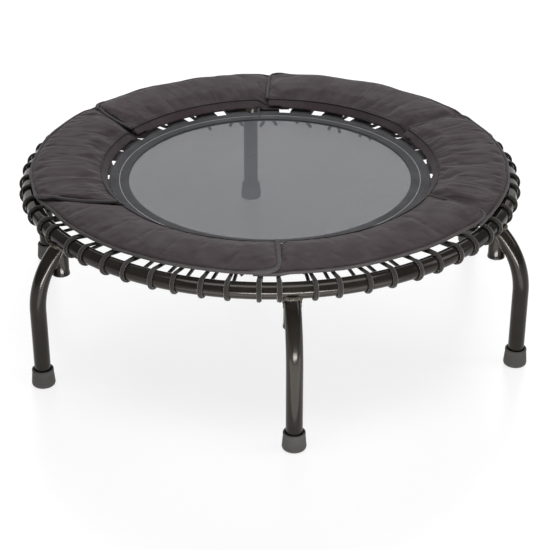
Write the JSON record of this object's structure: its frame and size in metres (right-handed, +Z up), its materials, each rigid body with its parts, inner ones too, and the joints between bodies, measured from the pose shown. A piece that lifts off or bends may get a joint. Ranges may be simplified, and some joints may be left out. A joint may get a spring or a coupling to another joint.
{
  "type": "mini trampoline",
  "caption": "Round fitness rebounder: mesh mat hung inside a tubular ring on elastic cords, with a padded cover and arched legs with rubber feet.",
  "frame": {"origin": "on the floor, under the centre of the frame ring", "axes": "+Z up; leg 1 stands towards -Y, and the other legs follow every 60 degrees towards +X"},
  "size_m": [1.0064, 1.1126, 0.336],
  "materials": {
    "powder_coat": "glossy black powder coat on steel tube",
    "rubber_feet": "matt black rubber",
    "bolts": "dark zinc-plated steel",
    "mat_cloth": "open woven polypropylene mesh",
    "webbing": "dark polyester webbing with pale stitching",
    "cord": "braided sheath over an elastic core",
    "pad_cloth": "dark brushed polyester over foam"
  },
  "bodies": {
    "frame": {"frame_ring": "powder_coat", "arched_leg_1": "powder_coat", "arched_leg_2": "powder_coat", "arched_leg_3": "powder_coat", "arched_leg_4": "powder_coat", "arched_leg_5": "powder_coat", "arched_leg_6": "powder_coat", "leg_bolt_1": "bolts", "leg_bolt_2": "bolts", "leg_bolt_3": "bolts", "leg_bolt_4": "bolts", "leg_bolt_5": "bolts", "leg_bolt_6": "bolts", "rubber_foot_1": "rubber_feet", "rubber_foot_2": "rubber_feet", "rubber_foot_3": "rubber_feet", "rubber_foot_4": "rubber_feet", "rubber_foot_5": "rubber_feet", "rubber_foot_6": "rubber_feet", "elastic_cord_01": "cord", "elastic_cord_02": "cord", "elastic_cord_03": "cord", "elastic_cord_04": "cord", "elastic_cord_05": "cord", "elastic_cord_06": "cord", "elastic_cord_07": "cord", "elastic_cord_08": "cord", "elastic_cord_09": "cord", "elastic_cord_10": "cord", "elastic_cord_11": "cord", "elastic_cord_12": "cord", "elastic_cord_13": "cord", "elastic_cord_14": "cord", "elastic_cord_15": "cord", "elastic_cord_16": "cord", "elastic_cord_17": "cord", "elastic_cord_18": "cord", "elastic_cord_19": "cord", "elastic_cord_20": "cord", "elastic_cord_21": "cord", "elastic_cord_22": "cord", "elastic_cord_23": "cord", "elastic_cord_24": "cord", "elastic_cord_25": "cord", "elastic_cord_26": "cord", "elastic_cord_27": "cord", "elastic_cord_28": "cord", "elastic_cord_29": "cord", "elastic_cord_30": "cord", "pad_section_1": "pad_cloth", "pad_section_2": "pad_cloth", "pad_section_3": "pad_cloth", "pad_section_4": "pad_cloth", "pad_section_5": "pad_cloth", "pad_section_6": "pad_cloth"},
    "mat": {"mat_mesh": "mat_cloth", "mat_edge_band": "webbing"}
  },
  "joints": [
    {"name": "mat_bounce", "type": "slide", "parent": "frame", "child": "mat", "axis": [0, 0, -1], "range_m": [0, 0.12], "stiffness_N_per_m": 8000, "deforming": ["elastic_cord_01", "elastic_cord_02", "elastic_cord_03", "elastic_cord_04", "elastic_cord_05", "elastic_cord_06", "elastic_cord_07", "elastic_cord_08", "elastic_cord_09", "elastic_cord_10", "elastic_cord_11", "elastic_cord_12", "elastic_cord_13", "elastic_cord_14", "elastic_cord_15", "elastic_cord_16", "elastic_cord_17", "elastic_cord_18", "elastic_cord_19", "elastic_cord_20", "elastic_cord_21", "elastic_cord_22", "elastic_cord_23", "elastic_cord_24", "elastic_cord_25", "elastic_cord_26", "elastic_cord_27", "elastic_cord_28", "elastic_cord_29", "elastic_cord_30"]}
  ]
}
